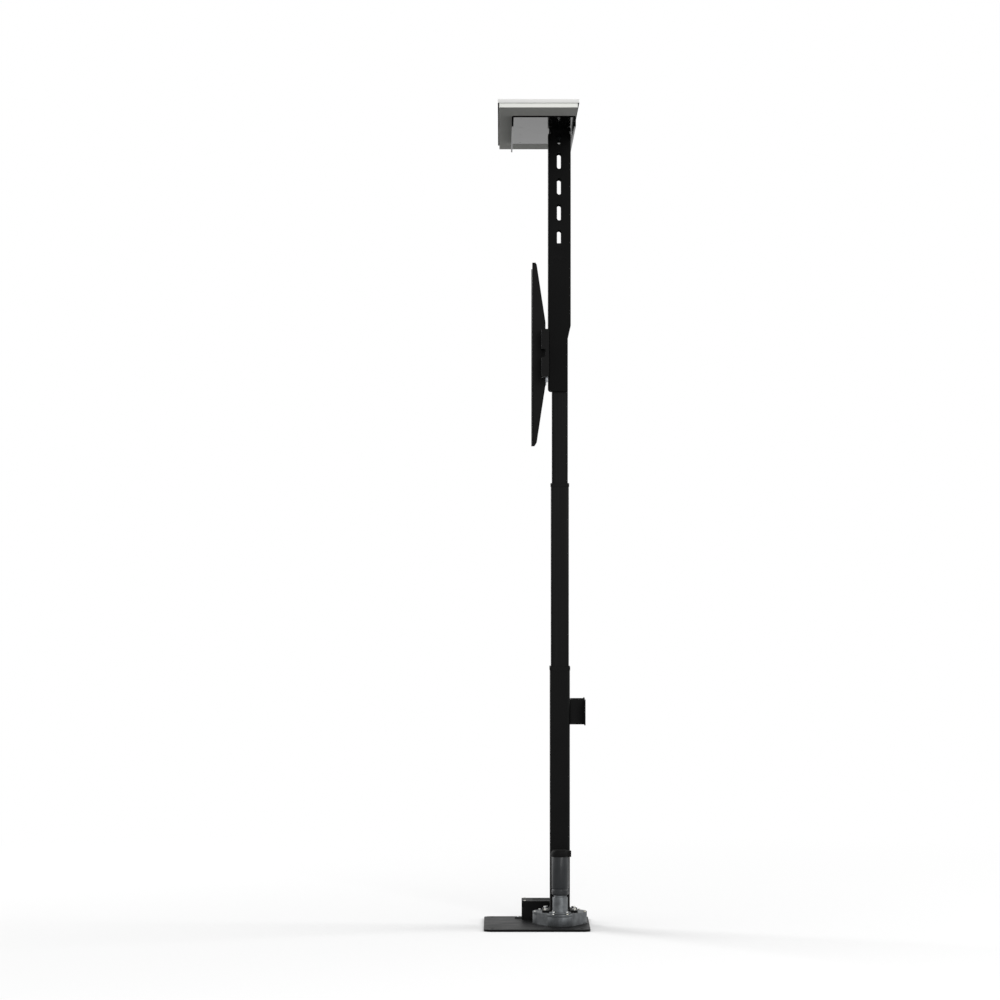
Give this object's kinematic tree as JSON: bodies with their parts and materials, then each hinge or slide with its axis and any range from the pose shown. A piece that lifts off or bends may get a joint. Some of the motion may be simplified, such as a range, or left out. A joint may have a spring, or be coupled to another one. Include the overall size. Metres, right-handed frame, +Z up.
{
  "type": "tv lift mechanism",
  "caption": "Floor-standing telescopic column lift for a flat screen, with a lead-screw drive, a slotted carriage, hook-on screen rails and a lid that rides on top.",
  "frame": {"origin": "on the floor under the column's axis, at the base plate's underside", "axes": "+Z up along the column, -Y to the front where the screen hangs, +X to the right seen from the front"},
  "size_m": [1.206, 0.25, 1.909],
  "materials": {
    "black_steel": "satin black powder coat",
    "gear_casting": "dark grey die casting",
    "motor_paint": "dark grey paint",
    "bright_steel": "ground steel",
    "zinc": "zinc plate",
    "bronze": "machined bronze",
    "nylon": "natural nylon",
    "black_plastic": "fine moulded texture",
    "circuit_board": "lacquered board",
    "lid_board": "white lacquered board"
  },
  "bodies": {
    "base": {"base_plate": "black_steel", "gear_case": "gear_casting", "gear_cover": "gear_casting", "case_screws": "zinc", "cover_screws": "zinc", "thrust_bush": "bronze", "main_bearing": "bright_steel", "outer_tube": "black_steel", "outer_collar": "black_plastic", "foot_bolts": "zinc", "rear_brace": "black_steel", "motor_gearhead": "gear_casting", "motor_can": "motor_paint", "motor_cap": "black_plastic", "motor_screws": "zinc", "control_base": "black_plastic", "control_cover": "black_plastic", "control_board": "circuit_board", "control_sockets": "black_plastic", "control_screws": "zinc"},
    "drive_screw": {"lower_screw": "bright_steel", "hex_driver": "bright_steel", "wheel_gear": "nylon"},
    "pinion": {"motor_pinion": "bright_steel"},
    "middle_stage": {"middle_tube": "black_steel", "middle_collar": "black_plastic", "middle_foot": "black_plastic", "lower_nut": "bronze", "screw_bearing": "bright_steel"},
    "top_screw": {"upper_screw": "bright_steel"},
    "carriage": {"inner_tube": "black_steel", "inner_foot": "black_plastic", "upper_nut": "bronze", "column_head": "black_steel", "head_bolts": "black_steel", "carriage_channel": "black_steel", "mount_plate": "black_steel", "crossbar_upper": "black_steel", "crossbar_lower": "black_steel", "crossbar_caps": "black_plastic", "mount_studs": "zinc", "mount_nuts": "zinc"},
    "left_rail": {"rail_left": "black_steel", "lock_catch_left": "zinc", "lock_screw_left": "zinc"},
    "right_rail": {"rail_right": "black_steel", "lock_catch_right": "zinc", "lock_screw_right": "zinc"},
    "lid": {"lid_bracket": "black_steel", "bracket_bolts": "black_steel", "lid_tray": "black_steel", "tray_bolts": "zinc", "lid_core": "lid_board", "lid_panel": "lid_board", "lid_screws": "black_steel"}
  },
  "joints": [
    {"name": "lift_lower", "type": "slide", "parent": "base", "child": "middle_stage", "axis": [0, 0, 1], "range_m": [-0.425, 0]},
    {"name": "lift_upper", "type": "slide", "parent": "middle_stage", "child": "carriage", "axis": [0, 0, 1], "range_m": [-0.425, 0]},
    {"name": "drive_screw_turn", "type": "hinge", "parent": "base", "child": "drive_screw", "pos_m": [0, 0, 0.018], "axis": [0, 0, 1], "continuous": true},
    {"name": "top_screw_turn", "type": "hinge", "parent": "middle_stage", "child": "top_screw", "pos_m": [0, 0, 0.501], "axis": [0, 0, 1], "continuous": true},
    {"name": "pinion_turn", "type": "hinge", "parent": "base", "child": "pinion", "pos_m": [0.072, 0, 0.018], "axis": [0, 0, 1], "continuous": true},
    {"name": "left_rail_slide", "type": "slide", "parent": "carriage", "child": "left_rail", "axis": [1, 0, 0], "range_m": [-0.05, 0.095]},
    {"name": "right_rail_slide", "type": "slide", "parent": "carriage", "child": "right_rail", "axis": [-1, 0, 0], "range_m": [-0.05, 0.095]},
    {"name": "lid_adjust", "type": "slide", "parent": "carriage", "child": "lid", "axis": [0, 0, 1], "range_m": [-0.003, 0.003]}
  ],
  "couplings": [
    {"joint": "lift_upper", "follows": "lift_lower", "ratio": 1},
    {"joint": "drive_screw_turn", "follows": "lift_lower", "rad_per_m": -502.65},
    {"joint": "top_screw_turn", "follows": "lift_lower", "rad_per_m": -502.65},
    {"joint": "pinion_turn", "follows": "lift_lower", "rad_per_m": 1508}
  ]
}
